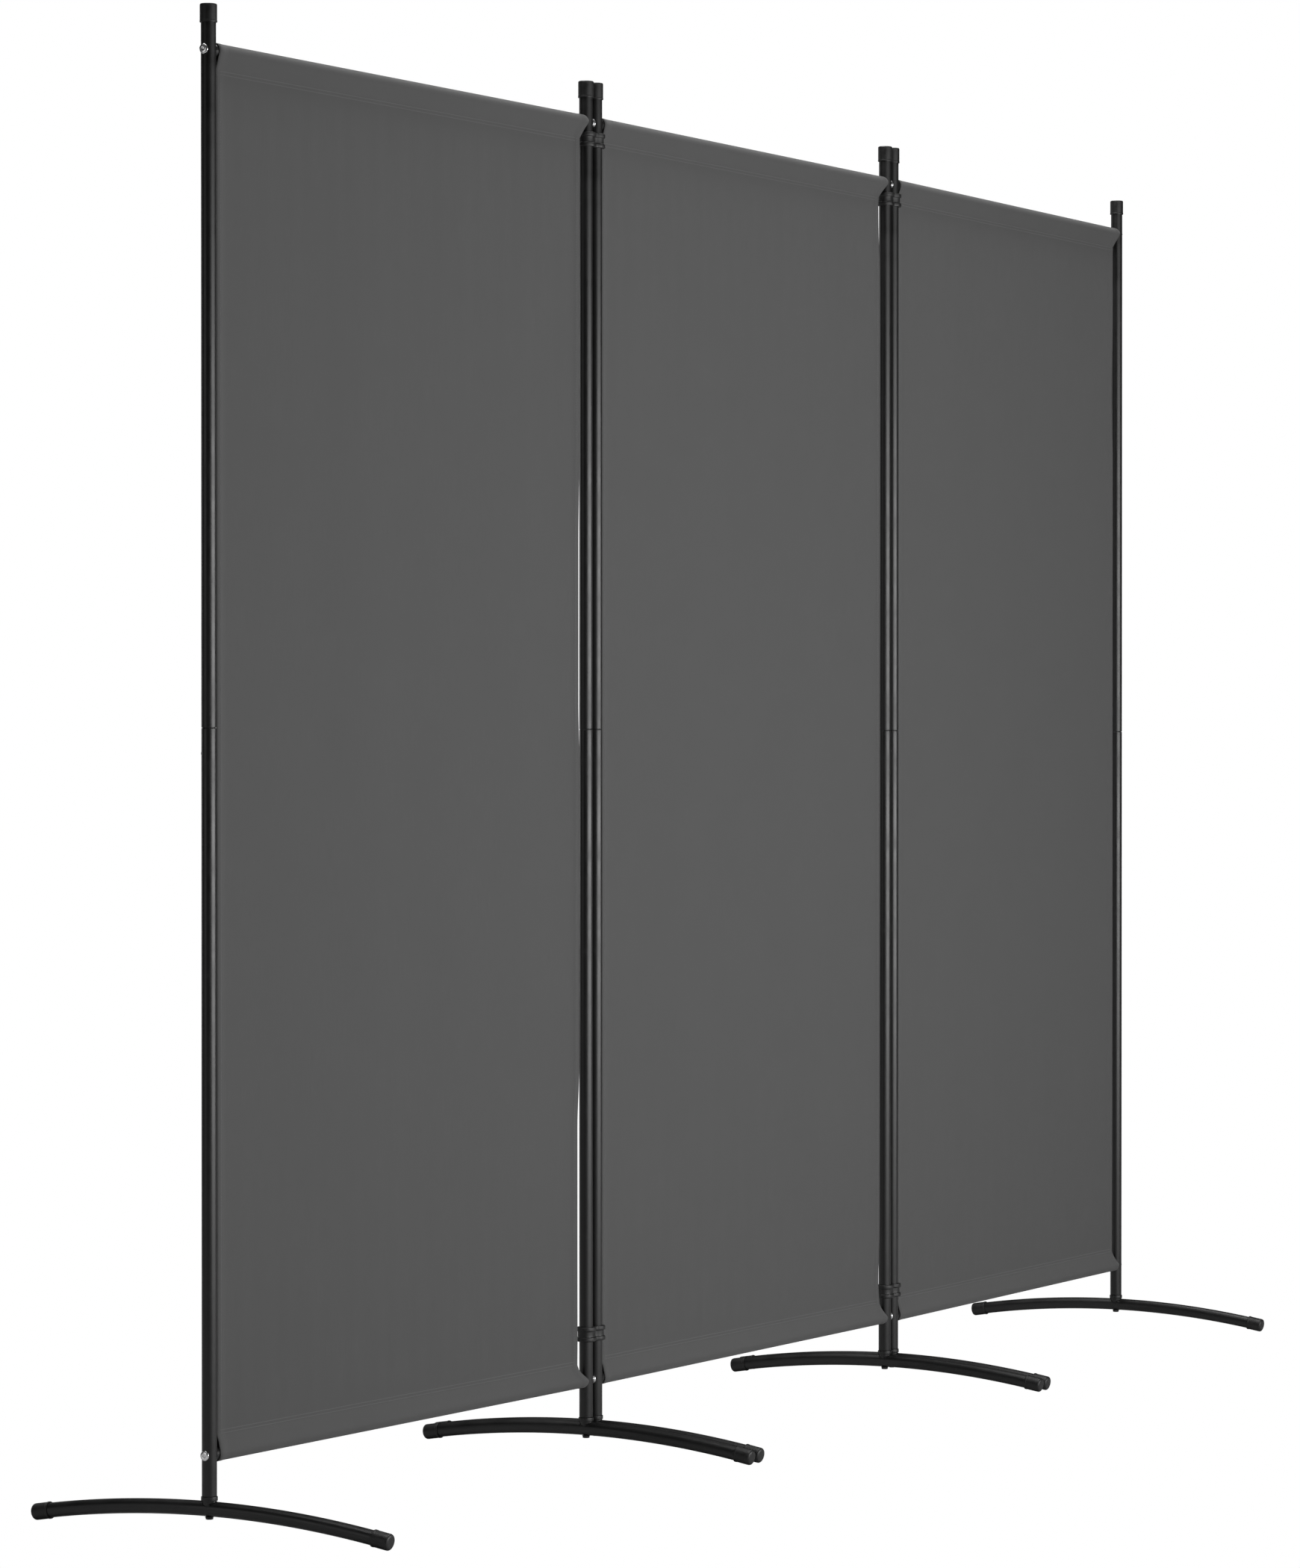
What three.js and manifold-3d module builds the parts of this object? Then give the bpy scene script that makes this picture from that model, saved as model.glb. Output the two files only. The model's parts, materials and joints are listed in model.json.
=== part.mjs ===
// A folding three-panel room divider: steel poles in two lengths, cloth panels stretched between
// cross bars, ring clips that hinge one panel to the next, and an arched foot under every pole.
// Millimetres, +Z up. +X runs along the screen and its front faces -Y. The origin is on the floor
// under the middle of the footprint.
import * as THREE from "three";
import { mergeVertices } from "three/addons/utils/BufferGeometryUtils.js";
import Module from "manifold-3d";

// Driving dimensions.
const HEIGHT = 1810; // floor to the top of the pole caps
const POLE_SPACING = 841; // between the two pole axes of a panel
const HINGE_SPACING = 24; // between the two pole axes at a hinge
const REST_FOLD = THREE.MathUtils.degToRad(1.6); // turn from one panel to the next
const LEFT_FOOT_TURN = THREE.MathUtils.degToRad(2.5); // of the left end's foot on its pole
const FOOT_LENGTH = 508;
const FOOT_RISE = 22; // of the arched foot's centre line, from tip to middle
const TOP_BAR_HEIGHT = 1756;
const BOTTOM_BAR_HEIGHT = 95;
const JOINT_HEIGHT = 955; // where the upper pole stands on the lower one

const TUBE_RADIUS = 9; // poles and feet
const POLE_WALL = 0.8;
const BAR_RADIUS = 8;
const BAR_WALL = 0.8;
const FOOT_WALL = 1.2;
const CLOTH_THICKNESS = 1;
const GAP = 0.3; // left between pieces that touch
const OVERSHOOT = 1; // of a cutting tool beyond the surface that it cuts
const MERGE_DISTANCE = 0.001; // within which two vertices count as one

// Poles.
const SEAT_TOP = 46; // top of the foot's seat
const POLE_PLUG_LENGTH = 18; // threaded plug in the pole's lower end
const SPIGOT_LENGTH = 60; // the upper pole's reduced end, inside the lower pole
const POLE_CAP_RADIUS = 10.5;
const POLE_CAP_LENGTH = 22;
const CAP_WALL = 2.5;
const CAP_ROUNDING = 1.5;

// Cross bars and their screws.
const SCREW_RADIUS = 3;
const SCREW_HEAD_RADIUS = 6;
const SCREW_HEAD_RIM = 0.9; // height of the head's straight side
const SCREW_HEAD_HEIGHT = 2;
const SCREW_HEAD_TOP_RADIUS = 3.5;
const BAR_PLUG_LENGTH = 6;
const DRAIN_HOLE_RADIUS = 2;

// Cloth.
const SLEEVE_RADIUS = 9;
const SLEEVE_END_GAP = 1.5; // from a pole's surface
const CLOTH_LEFT_GAP = 8; // from a pole's surface to the cloth's edge
const CLOTH_RIGHT_GAP = 20;
const CLOTH_CORNER_GAP = 5;
const CLOTH_FLARE = 20; // height over which a corner widens towards its pole

// Hinge clips.
const CLIP_RADIUS = 13;
const CLIP_HOLLOW_RADIUS = 5; // of the curves that join its two rings
const CLIP_HEIGHT = 19;
const TOP_CLIP_HEIGHT = 1733;
const LEFT_BOTTOM_CLIP_HEIGHT = 156;
const RIGHT_BOTTOM_CLIP_HEIGHT = 133;

// Feet.
const SEAT_RADIUS = 10;
const SEAT_HEIGHT = 5;
const NECK_RADIUS = 8.4; // between the seat and the tube
const FOOT_CAP_RADIUS = 10.5;
const FOOT_CAP_LENGTH = 24;
const SOLE_DEPTH = 0.8; // cut off the foot cap's underside to give it a flat sole
const SOLE_CUTTER_HEIGHT = 10;
const BOLT_HEAD_RADIUS = 5.3;
const BOLT_HEAD_HEIGHT = 3.2;
const BOLT_GRIP = 14; // of the foot's bolt in the pole's plug

// Numbers of sides and steps of the round shapes.
const POLE_SIDES = 16;
const FOOT_SIDES = 12;
const SMALL_SIDES = 8;
const FOOT_STEPS = 10;
const FOOT_CAP_STEPS = 1;
const CLIP_ARC_STEPS = 10;

// Worked out from the above.
const POLE_BORE = TUBE_RADIUS - POLE_WALL;
const SCREW_HOLE_RADIUS = SCREW_RADIUS + GAP;
const POLE_HOLE_RADIUS = TUBE_RADIUS + GAP; // of what fits round a pole
const halfSpan = POLE_SPACING / 2;
const halfHinge = HINGE_SPACING / 2;

// The foot's centre line is a circular arc in the plane x = 0. Its ends are square to the arc,
// so the tip of the centre line lies short of the foot's full length.
const arcRadius = ((FOOT_LENGTH / 2) ** 2 + FOOT_RISE ** 2) / (2 * FOOT_RISE);
const tipAngle = Math.asin((FOOT_LENGTH / 2) / (arcRadius + FOOT_CAP_RADIUS));
const tipHeight = FOOT_CAP_RADIUS * Math.cos(tipAngle) - SOLE_DEPTH;
const footTop = tipHeight + arcRadius * (1 - Math.cos(tipAngle)); // of the centre line

const wasm = await Module();
wasm.setup();

function toSolid(geometry) {
  const bare = geometry.clone();
  bare.deleteAttribute("normal");
  bare.deleteAttribute("uv");
  const merged = mergeVertices(bare, MERGE_DISTANCE);
  const vertProperties = merged.attributes.position.array;
  const triVerts = new Uint32Array(merged.index.array);
  return new wasm.Manifold(new wasm.Mesh({ numProp: 3, vertProperties, triVerts }));
}

function toGeometry(solid) {
  const { vertProperties, triVerts } = solid.getMesh();
  return new THREE.BufferGeometry()
    .setAttribute("position", new THREE.BufferAttribute(vertProperties, 3))
    .setIndex(new THREE.BufferAttribute(triVerts, 1));
}

function join(...geometries) {
  return toGeometry(geometries.map(toSolid).reduce((whole, part) => whole.add(part)));
}

function cut(geometry, ...tools) {
  return toGeometry(tools.map(toSolid).reduce((rest, tool) => rest.subtract(tool), toSolid(geometry)));
}

// Turned about Z from [radius, height] pairs that run up the outside.
function turned(profile, sides) {
  const points = profile.map(([radius, height]) => new THREE.Vector2(radius, height));
  return new THREE.LatheGeometry(points, sides).rotateX(Math.PI / 2);
}

// A solid cylinder about Z, between two heights.
function rod(radius, low, high, sides = SMALL_SIDES) {
  return turned([[0, low], [radius, low], [radius, high], [0, high]], sides);
}

// A tube about Z, between two heights.
function ring(outer, inner, low, high, sides = POLE_SIDES) {
  return turned([[inner, low], [outer, low], [outer, high], [inner, high], [inner, low]], sides);
}

// Lays what stands along Z along X instead.
function alongX(geometry) {
  return geometry.rotateY(Math.PI / 2);
}

function circle(radius, sides) {
  return Array.from({ length: sides }, (_, side) => {
    const angle = (2 * Math.PI * side) / sides;
    return new THREE.Vector2(radius * Math.cos(angle), radius * Math.sin(angle));
  });
}

class FootArc extends THREE.Curve {
  constructor(startAngle, endAngle) {
    super();
    this.startAngle = startAngle;
    this.endAngle = endAngle;
  }

  getPoint(t, target = new THREE.Vector3()) {
    const angle = THREE.MathUtils.lerp(this.startAngle, this.endAngle, t);
    const drop = arcRadius * (1 - Math.cos(angle));
    return target.set(0, arcRadius * Math.sin(angle), footTop - drop);
  }
}

function alongFoot(radius, bore, startAngle, endAngle, steps) {
  const section = new THREE.Shape(circle(radius, FOOT_SIDES));
  if (bore) {
    section.holes.push(new THREE.Path(circle(bore, FOOT_SIDES)));
  }
  const extrudePath = new FootArc(startAngle, endAngle);
  return new THREE.ExtrudeGeometry(section, { steps, extrudePath });
}

// Materials, as functions, because each mesh gets its own.
function finish(color, roughness, metalness) {
  return () => new THREE.MeshStandardMaterial({ color, roughness, metalness });
}

const blackSteel = finish(0x151515, 0.35, 0.6);
const blackPlastic = finish(0x121212, 0.5, 0);
const greyCloth = finish(0x535353, 0.95, 0);

function part(name, geometry, material) {
  geometry.computeVertexNormals();
  const mesh = new THREE.Mesh(geometry, material);
  mesh.name = name;
  return mesh;
}

// A hole for a cross bar's screw, through both walls of a pole.
function screwHole(height) {
  const reach = TUBE_RADIUS + OVERSHOOT;
  return alongX(rod(SCREW_HOLE_RADIUS, -reach, reach)).translate(0, 0, height);
}

// The lower pole: its plug stands on the foot's seat and takes the foot's bolt.
function lowerPole() {
  const foot = SEAT_TOP + GAP;
  const plugTop = foot + POLE_PLUG_LENGTH;
  const profile = [
    [SCREW_HOLE_RADIUS, foot],
    [TUBE_RADIUS, foot],
    [TUBE_RADIUS, JOINT_HEIGHT],
    [POLE_BORE, JOINT_HEIGHT],
    [POLE_BORE, plugTop],
    [SCREW_HOLE_RADIUS, plugTop],
    [SCREW_HOLE_RADIUS, foot],
  ];
  return cut(turned(profile, POLE_SIDES), screwHole(BOTTOM_BAR_HEIGHT));
}

// The upper pole: its lower end is reduced to a spigot.
function upperPole() {
  const spigot = POLE_BORE - GAP;
  const spigotBore = spigot - POLE_WALL;
  const shoulder = JOINT_HEIGHT + GAP;
  const top = HEIGHT - CAP_WALL - GAP;
  const profile = [
    [spigotBore, JOINT_HEIGHT - SPIGOT_LENGTH],
    [spigot, JOINT_HEIGHT - SPIGOT_LENGTH],
    [spigot, shoulder],
    [TUBE_RADIUS, shoulder],
    [TUBE_RADIUS, top],
    [POLE_BORE, top],
    [POLE_BORE, shoulder + POLE_WALL],
    [spigotBore, shoulder],
    [spigotBore, JOINT_HEIGHT - SPIGOT_LENGTH],
  ];
  return cut(turned(profile, POLE_SIDES), screwHole(TOP_BAR_HEIGHT));
}

function poleCap() {
  const profile = [
    [0, HEIGHT - CAP_WALL],
    [POLE_HOLE_RADIUS, HEIGHT - CAP_WALL],
    [POLE_HOLE_RADIUS, HEIGHT - POLE_CAP_LENGTH],
    [POLE_CAP_RADIUS, HEIGHT - POLE_CAP_LENGTH],
    [POLE_CAP_RADIUS, HEIGHT - CAP_ROUNDING],
    [POLE_CAP_RADIUS - CAP_ROUNDING, HEIGHT],
    [0, HEIGHT],
  ];
  return turned(profile, POLE_SIDES);
}

// One end of a cross bar, along Z: the plug in the tube, the screw and its head beyond the pole.
// The head lies within half the hinge spacing of the pole's axis, so that it can turn past the
// head on the neighbouring pole.
function barScrew() {
  const plugEnd = halfSpan - POLE_HOLE_RADIUS - BAR_PLUG_LENGTH;
  const headStart = halfSpan + POLE_HOLE_RADIUS;
  const headEnd = headStart + SCREW_HEAD_HEIGHT;
  const profile = [
    [0, plugEnd - BAR_PLUG_LENGTH],
    [BAR_RADIUS - BAR_WALL / 2, plugEnd - BAR_PLUG_LENGTH],
    [BAR_RADIUS - BAR_WALL / 2, plugEnd],
    [SCREW_RADIUS, plugEnd],
    [SCREW_RADIUS, headStart],
    [SCREW_HEAD_RADIUS, headStart],
    [SCREW_HEAD_RADIUS, headStart + SCREW_HEAD_RIM],
    [SCREW_HEAD_TOP_RADIUS, headEnd],
    [0, headEnd],
  ];
  return turned(profile, SMALL_SIDES);
}

// A cross bar with its two screws: its ends are coped to the poles and a drain hole opens it.
function crossBar() {
  const tube = alongX(ring(BAR_RADIUS, BAR_RADIUS - BAR_WALL, -halfSpan, halfSpan));
  const copes = [-halfSpan, halfSpan].map((x) =>
    rod(POLE_HOLE_RADIUS, -2 * BAR_RADIUS, 2 * BAR_RADIUS, POLE_SIDES).translate(x, 0, 0),
  );
  const drain = rod(DRAIN_HOLE_RADIUS, -BAR_RADIUS - OVERSHOOT, 0).translate(halfSpan / 2, 0, 0);
  const screws = [alongX(barScrew()), alongX(barScrew()).rotateZ(Math.PI)];
  return join(cut(tube, ...copes, drain), ...screws);
}

// A stretched cloth with a sleeve round each cross bar. Its corners widen towards the poles.
function cloth() {
  const poleFace = halfSpan - TUBE_RADIUS;
  const left = CLOTH_LEFT_GAP - poleFace;
  const right = poleFace - CLOTH_RIGHT_GAP;
  const corner = poleFace - CLOTH_CORNER_GAP;
  const sleeveBore = BAR_RADIUS + GAP;
  const intoSleeve = (SLEEVE_RADIUS + sleeveBore) / 2;
  const bottom = BOTTOM_BAR_HEIGHT + intoSleeve;
  const top = TOP_BAR_HEIGHT - intoSleeve;
  const outline = new THREE.Shape()
    .moveTo(-corner, bottom)
    .lineTo(corner, bottom)
    .lineTo(right, bottom + CLOTH_FLARE)
    .lineTo(right, top - CLOTH_FLARE)
    .lineTo(corner, top)
    .lineTo(-corner, top)
    .lineTo(left, top - CLOTH_FLARE)
    .lineTo(left, bottom + CLOTH_FLARE);
  const sheet = new THREE.ExtrudeGeometry(outline, { depth: CLOTH_THICKNESS, bevelEnabled: false })
    .rotateX(Math.PI / 2)
    .translate(0, CLOTH_THICKNESS / 2, 0);
  const reach = poleFace - SLEEVE_END_GAP;
  const sleeves = [BOTTOM_BAR_HEIGHT, TOP_BAR_HEIGHT].map((height) =>
    alongX(ring(SLEEVE_RADIUS, sleeveBore, -reach, reach)).translate(0, 0, height),
  );
  return join(sheet, ...sleeves);
}

// A moulded clip: two rings, one round each pole of a hinge, joined by hollow curves.
function hingeClip(height) {
  const hollowY = Math.sqrt((CLIP_RADIUS + CLIP_HOLLOW_RADIUS) ** 2 - halfHinge ** 2);
  const open = Math.atan2(hollowY, halfHinge);
  const outline = new THREE.Shape()
    .absarc(halfHinge, 0, CLIP_RADIUS, open - Math.PI, Math.PI - open)
    .absarc(0, hollowY, CLIP_HOLLOW_RADIUS, -open, open - Math.PI, true)
    .absarc(-halfHinge, 0, CLIP_RADIUS, open, 2 * Math.PI - open)
    .absarc(0, -hollowY, CLIP_HOLLOW_RADIUS, Math.PI - open, open, true);
  for (const x of [-halfHinge, halfHinge]) {
    const bore = circle(POLE_HOLE_RADIUS, POLE_SIDES).map((point) => point.add(new THREE.Vector2(x, 0)));
    outline.holes.push(new THREE.Path(bore));
  }
  const settings = { depth: CLIP_HEIGHT, bevelEnabled: false, curveSegments: CLIP_ARC_STEPS };
  return new THREE.ExtrudeGeometry(outline, settings).translate(0, 0, height - CLIP_HEIGHT / 2);
}

// An arched foot tube with the seat that the pole stands on, bored for its bolt. The seat stands
// on a narrower neck.
function footTube() {
  const end = tipAngle - (CAP_WALL + GAP) / arcRadius;
  const tube = alongFoot(TUBE_RADIUS, TUBE_RADIUS - FOOT_WALL, -end, end, FOOT_STEPS);
  const seat = rod(SEAT_RADIUS, SEAT_TOP - SEAT_HEIGHT, SEAT_TOP, POLE_SIDES);
  const neck = rod(NECK_RADIUS, footTop, SEAT_TOP - SEAT_HEIGHT / 2, POLE_SIDES);
  return cut(join(tube, neck, seat), rod(SCREW_HOLE_RADIUS, 0, SEAT_TOP + OVERSHOOT));
}

// A foot's end cap: side is -1 in front and 1 at the back.
function footCap(side) {
  const mouth = tipAngle - FOOT_CAP_LENGTH / arcRadius;
  const boreEnd = tipAngle - CAP_WALL / arcRadius;
  const beyondMouth = mouth - OVERSHOOT / arcRadius;
  const body = alongFoot(FOOT_CAP_RADIUS, 0, side * mouth, side * tipAngle, FOOT_CAP_STEPS);
  const bore = alongFoot(TUBE_RADIUS + GAP, 0, side * beyondMouth, side * boreEnd, FOOT_CAP_STEPS);
  const underFloor = new THREE.BoxGeometry(4 * FOOT_CAP_RADIUS, FOOT_LENGTH, SOLE_CUTTER_HEIGHT)
    .translate(0, (side * FOOT_LENGTH) / 2, -SOLE_CUTTER_HEIGHT / 2);
  return cut(body, bore, underFloor);
}

// The bolt that holds a foot to its pole, from below.
function footBolt() {
  const headTop = footTop - TUBE_RADIUS - GAP;
  const tip = SEAT_TOP + GAP + BOLT_GRIP;
  const profile = [
    [0, headTop - BOLT_HEAD_HEIGHT],
    [BOLT_HEAD_RADIUS, headTop - BOLT_HEAD_HEIGHT],
    [BOLT_HEAD_RADIUS, headTop],
    [SCREW_RADIUS, headTop],
    [SCREW_RADIUS, tip],
    [0, tip],
  ];
  return turned(profile, SMALL_SIDES);
}

function poleParts(name) {
  return [
    part(name + "_pole_lower", lowerPole(), blackSteel()),
    part(name + "_pole_upper", upperPole(), blackSteel()),
    part(name + "_pole_cap", poleCap(), blackPlastic()),
  ];
}

function footParts(name) {
  return [
    part(name + "_foot", footTube(), blackSteel()),
    part(name + "_foot_front_cap", footCap(-1), blackPlastic()),
    part(name + "_foot_back_cap", footCap(1), blackPlastic()),
    part(name + "_foot_bolt", footBolt(), blackSteel()),
  ];
}

function group(x, y, turn, ...children) {
  const made = new THREE.Group();
  made.position.set(x, y, 0);
  made.rotation.z = turn;
  if (children.length) {
    made.add(...children);
  }
  return made;
}

// A panel about its own middle: poles, cross bars and cloth.
function panel(name) {
  const made = new THREE.Group();
  for (const [side, x] of [["left", -halfSpan], ["right", halfSpan]]) {
    made.add(group(x, 0, 0, ...poleParts(name + "_" + side)));
  }
  for (const [level, height] of [["bottom", BOTTOM_BAR_HEIGHT], ["top", TOP_BAR_HEIGHT]]) {
    made.add(part(name + "_" + level + "_bar", crossBar().translate(0, 0, height), blackSteel()));
  }
  made.add(part(name + "_cloth", cloth(), greyCloth()));
  return made;
}

// A hinge about the middle of its pole pair: two clips and the two feet, which turn with them.
function hinge(name, bottomClipHeight, leftPole, rightPole) {
  return group(
    0, 0, 0,
    part(name + "_bottom_clip", hingeClip(bottomClipHeight), blackPlastic()),
    part(name + "_top_clip", hingeClip(TOP_CLIP_HEIGHT), blackPlastic()),
    group(-halfHinge, 0, 0, ...footParts(leftPole)),
    group(halfHinge, 0, 0, ...footParts(rightPole)),
  );
}

// Places, stepping outwards from the middle panel: side is -1 on the left and 1 on the right.
function place(made, side, hingeSteps, panelSteps, turn) {
  made.position.set(
    side * (halfSpan + hingeSteps * Math.cos(REST_FOLD / 2) + panelSteps * Math.cos(REST_FOLD)),
    hingeSteps * Math.sin(REST_FOLD / 2) + panelSteps * Math.sin(REST_FOLD),
    0,
  );
  made.rotation.z = side * turn;
  return made;
}

const leftHinge = hinge("left_hinge", LEFT_BOTTOM_CLIP_HEIGHT, "left_panel_right", "centre_panel_left");
const rightHinge = hinge("right_hinge", RIGHT_BOTTOM_CLIP_HEIGHT, "centre_panel_right", "right_panel_left");
const leftEndFoot = group(0, 0, 0, group(0, 0, LEFT_FOOT_TURN, ...footParts("left_panel_left")));
const rightEndFoot = group(0, 0, 0, ...footParts("right_panel_right"));

const divider = new THREE.Group();
divider.name = "room_divider";
divider.add(
  panel("centre_panel"),
  place(leftHinge, -1, halfHinge, 0, REST_FOLD / 2),
  place(rightHinge, 1, halfHinge, 0, REST_FOLD / 2),
  place(panel("left_panel"), -1, HINGE_SPACING, halfSpan, REST_FOLD),
  place(panel("right_panel"), 1, HINGE_SPACING, halfSpan, REST_FOLD),
  place(leftEndFoot, -1, HINGE_SPACING, POLE_SPACING, REST_FOLD),
  place(rightEndFoot, 1, HINGE_SPACING, POLE_SPACING, REST_FOLD),
);

const middle = new THREE.Box3().setFromObject(divider).getCenter(new THREE.Vector3());
divider.position.set(-middle.x, -middle.y, 0);

export default divider;
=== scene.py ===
"""A three-panel folding room divider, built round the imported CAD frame.

Metres, +Z up. +X runs along the screen and its front faces -Y. Places come from the frame; the
section sizes below are the object's own. Each piece is made in a frame of its own and then placed.
"""
import json
import math

import bmesh
import bpy
from mathutils import Matrix, Vector

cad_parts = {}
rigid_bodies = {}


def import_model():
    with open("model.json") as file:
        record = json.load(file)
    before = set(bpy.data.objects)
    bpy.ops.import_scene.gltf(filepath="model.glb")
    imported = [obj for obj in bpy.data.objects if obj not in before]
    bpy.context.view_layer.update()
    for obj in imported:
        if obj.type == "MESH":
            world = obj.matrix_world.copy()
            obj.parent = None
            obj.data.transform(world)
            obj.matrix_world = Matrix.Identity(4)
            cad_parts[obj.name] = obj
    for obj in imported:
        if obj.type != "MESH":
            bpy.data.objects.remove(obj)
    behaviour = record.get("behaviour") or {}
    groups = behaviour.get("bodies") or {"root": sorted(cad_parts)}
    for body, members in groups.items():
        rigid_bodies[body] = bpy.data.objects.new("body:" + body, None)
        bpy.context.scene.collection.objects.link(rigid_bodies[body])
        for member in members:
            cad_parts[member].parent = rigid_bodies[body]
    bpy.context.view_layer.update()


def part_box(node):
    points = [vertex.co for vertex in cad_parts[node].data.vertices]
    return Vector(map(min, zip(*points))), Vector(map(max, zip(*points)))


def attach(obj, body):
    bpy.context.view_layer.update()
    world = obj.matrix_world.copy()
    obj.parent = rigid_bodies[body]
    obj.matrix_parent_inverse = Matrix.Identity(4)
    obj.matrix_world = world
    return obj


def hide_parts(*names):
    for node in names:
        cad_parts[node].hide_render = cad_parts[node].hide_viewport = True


for old in list(bpy.data.objects):
    bpy.data.objects.remove(old)

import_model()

MM = 0.001
SIDES = 48  # of the round pieces
SHARP_ANGLE = math.radians(40)  # edges sharper than this stay sharp in the shading
CLEAR_RADIUS = 9.3 * MM  # of what goes round a tube or against it, just clear of its surface
PANELS = {"left_panel": "panel_left", "centre_panel": "panel_centre", "right_panel": "panel_right"}

# Poles and their caps.
TUBE_RADIUS = 9 * MM
TUBE_BORE = 8.2 * MM
SPIGOT_RADIUS = 7.9 * MM
SPIGOT_BORE = 7.1 * MM
RIM_ROUNDING = 0.45 * MM
POLE_PLUG_HEIGHT = 18 * MM
JOINT_ROUNDING = 1 * MM  # of the two edges that meet at the joint between the lengths
JOINT_GAP = 0.3 * MM
CAP_RADIUS = 10.3 * MM
CAP_LIP_RADIUS = 10.5 * MM
CAP_LIP_HEIGHT = 2.4 * MM
CAP_WALL = 2.5 * MM
CAP_ROUNDING = 2 * MM

# Cross bars and screws.
BAR_RADIUS = 8 * MM
BAR_BORE = 7.2 * MM
SCREW_RADIUS = 3 * MM
SCREW_REACH = 22 * MM  # of its shank past the pole's axis
SCREW_HEAD_RADIUS = 6 * MM
SCREW_HEAD_RIM = 0.8 * MM
SCREW_HEAD_HEIGHT = 2 * MM
SCREW_HEAD_TOP_RADIUS = 4.4 * MM
SOCKET_RADIUS = 2.3 * MM  # of the hexagon, across its corners
SOCKET_DEPTH = 1.5 * MM
JOINT_SCREW_DROP = 30 * MM  # below the joint between the pole's two lengths
JOINT_SCREW_RADIUS = 2.7 * MM
JOINT_SCREW_HEIGHT = 1.3 * MM
JOINT_SCREW_SHANK_RADIUS = 1.5 * MM
JOINT_SCREW_SOCKET_RADIUS = 1.1 * MM

# Cloth.
SLEEVE_RADIUS = 8.7 * MM  # of the cloth's middle surface round a bar
CLOTH_THICKNESS = 0.45 * MM
HEM_THICKNESS = 1.1 * MM
HEM_WIDTH = 10 * MM
SEAM_DROP = 22 * MM  # from a bar's axis to the seam that closes its sleeve
SEAM_ALLOWANCE = 8 * MM
BACK_LAYER = 1.2 * MM  # behind the front layer at the seam
SLEEVE_GAP = 1.5 * MM  # from a pole's surface to the sleeve's end
SADDLE_SHARE = 0.5  # how far the sleeve's right end follows the pole's round surface
LEFT_GAP = 5.5 * MM  # from a pole's surface to the cloth's edge
FLARE_END = 2 * MM  # from a bar's axis: a corner narrows from here to its flare's start
TOP_FLARE_START = 23 * MM
BOTTOM_FLARE_START = 15 * MM
CLOTH_ROWS = 160
CLOTH_COLUMNS = 84
HEM_COLUMNS = 3  # of vertices at each side
# Its ripples: (height, wavelength, share of the drift, share of the panel's phase).
LONG_WAVES = [(0.55 * MM, 310 * MM, 1, 1), (0.35 * MM, 173 * MM, -1, 2.3)]
CREASES = [(0.28 * MM, 47 * MM, 0.5, 1), (0.2 * MM, 29 * MM, -0.5, 1.7)]
WAVE_DRIFT = 20 * MM  # sideways, from one end of a ripple to the other
CREASE_FADE = 7  # how quickly the creases fade away from the seams
FLAT_SHARE = 0.02  # of the free height, at each seam, over which all ripples start
STITCH_PITCH = 3.5 * MM
STITCH_LENGTH = 2.7 * MM
STITCH_WIDTH = 0.6 * MM
STITCH_RISE = 0.2 * MM  # above the cloth
HEM_STITCH_INSET = 2 * MM  # from the inner edge of the hem
SEAM_STITCH_INSET = 1 * MM  # of the seam's first row
SEAM_ROW_SPACING = 4 * MM
YARN = 0.42 * MM  # from one yarn of the weave to the next
SLUBS_PER_METRE = (1200.0, 28.0, 0)  # thick places in the yarns, across and along the cloth

# The gap right of each cloth, as (height, gap) pairs from the bottom up.
RIGHT_GAPS = {
    "left_panel": [
        (0.1, 13.5 * MM),
        (0.43, 13 * MM),
        (0.51, 8.5 * MM),
        (0.91, 8 * MM),
        (0.99, 10.5 * MM),
        (1.2, 10.5 * MM),
        (1.32, 8 * MM),
        (1.75, 7.5 * MM),
    ],
    "centre_panel": [(0.11, 9 * MM), (0.15, 13 * MM), (0.23, 9 * MM), (1.6, 9 * MM), (1.71, 14 * MM)],
    "right_panel": [(0.1, 8 * MM), (1.38, 8 * MM), (1.5, 12.5 * MM), (1.62, 8 * MM)],
}
PHASES = {"left_panel": 0.6, "centre_panel": 2.1, "right_panel": 4.0}  # of their cloths' ripples

# Clips.
CLIP_RADIUS = 13 * MM
CLIP_ROUNDING = 1.4 * MM
CLIP_HOLLOW_RADIUS = 5 * MM  # of the curves that join its two rings
CLIP_RING_STEPS = 40  # round each ring's outline, and along each curve between the rings
CLIP_HOLLOW_STEPS = 10
CLIP_RIM_HEIGHT = 5.5 * MM
CLIP_GROOVE_DEPTH = 1.9 * MM

# Feet.
FOOT_LENGTH = 508 * MM
FOOT_RISE = 22 * MM
FOOT_BORE = 7.8 * MM
FOOT_STEPS = 64
SEAT_RADIUS = 10 * MM
SEAT_HEIGHT = 5 * MM
SEAT_ROUNDING = 0.7 * MM
NECK_RADIUS = 8.4 * MM
WELD_RADIUS = 0.9 * MM
WELD_UNEVENNESS = 0.15  # of its radius
WELD_BEADS = 9  # round the neck
WELD_SIDES = 8
FOOT_CAP_RADIUS = 10.5 * MM  # of its rim, at the mouth
FOOT_CAP_BODY_RADIUS = 10.1 * MM
FOOT_CAP_RIM_LENGTH = 3 * MM
FOOT_CAP_LENGTH = 24 * MM
FOOT_CAP_ROUNDING = 4 * MM
SOLE_DEPTH = 0.8 * MM
BOLT_HEAD_RADIUS = 4.6 * MM  # across its corners
BOLT_HEAD_HEIGHT = 3.2 * MM
BOLT_FLANGE = 0.7 * MM  # the washer face beyond the corners, and its thickness
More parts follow.
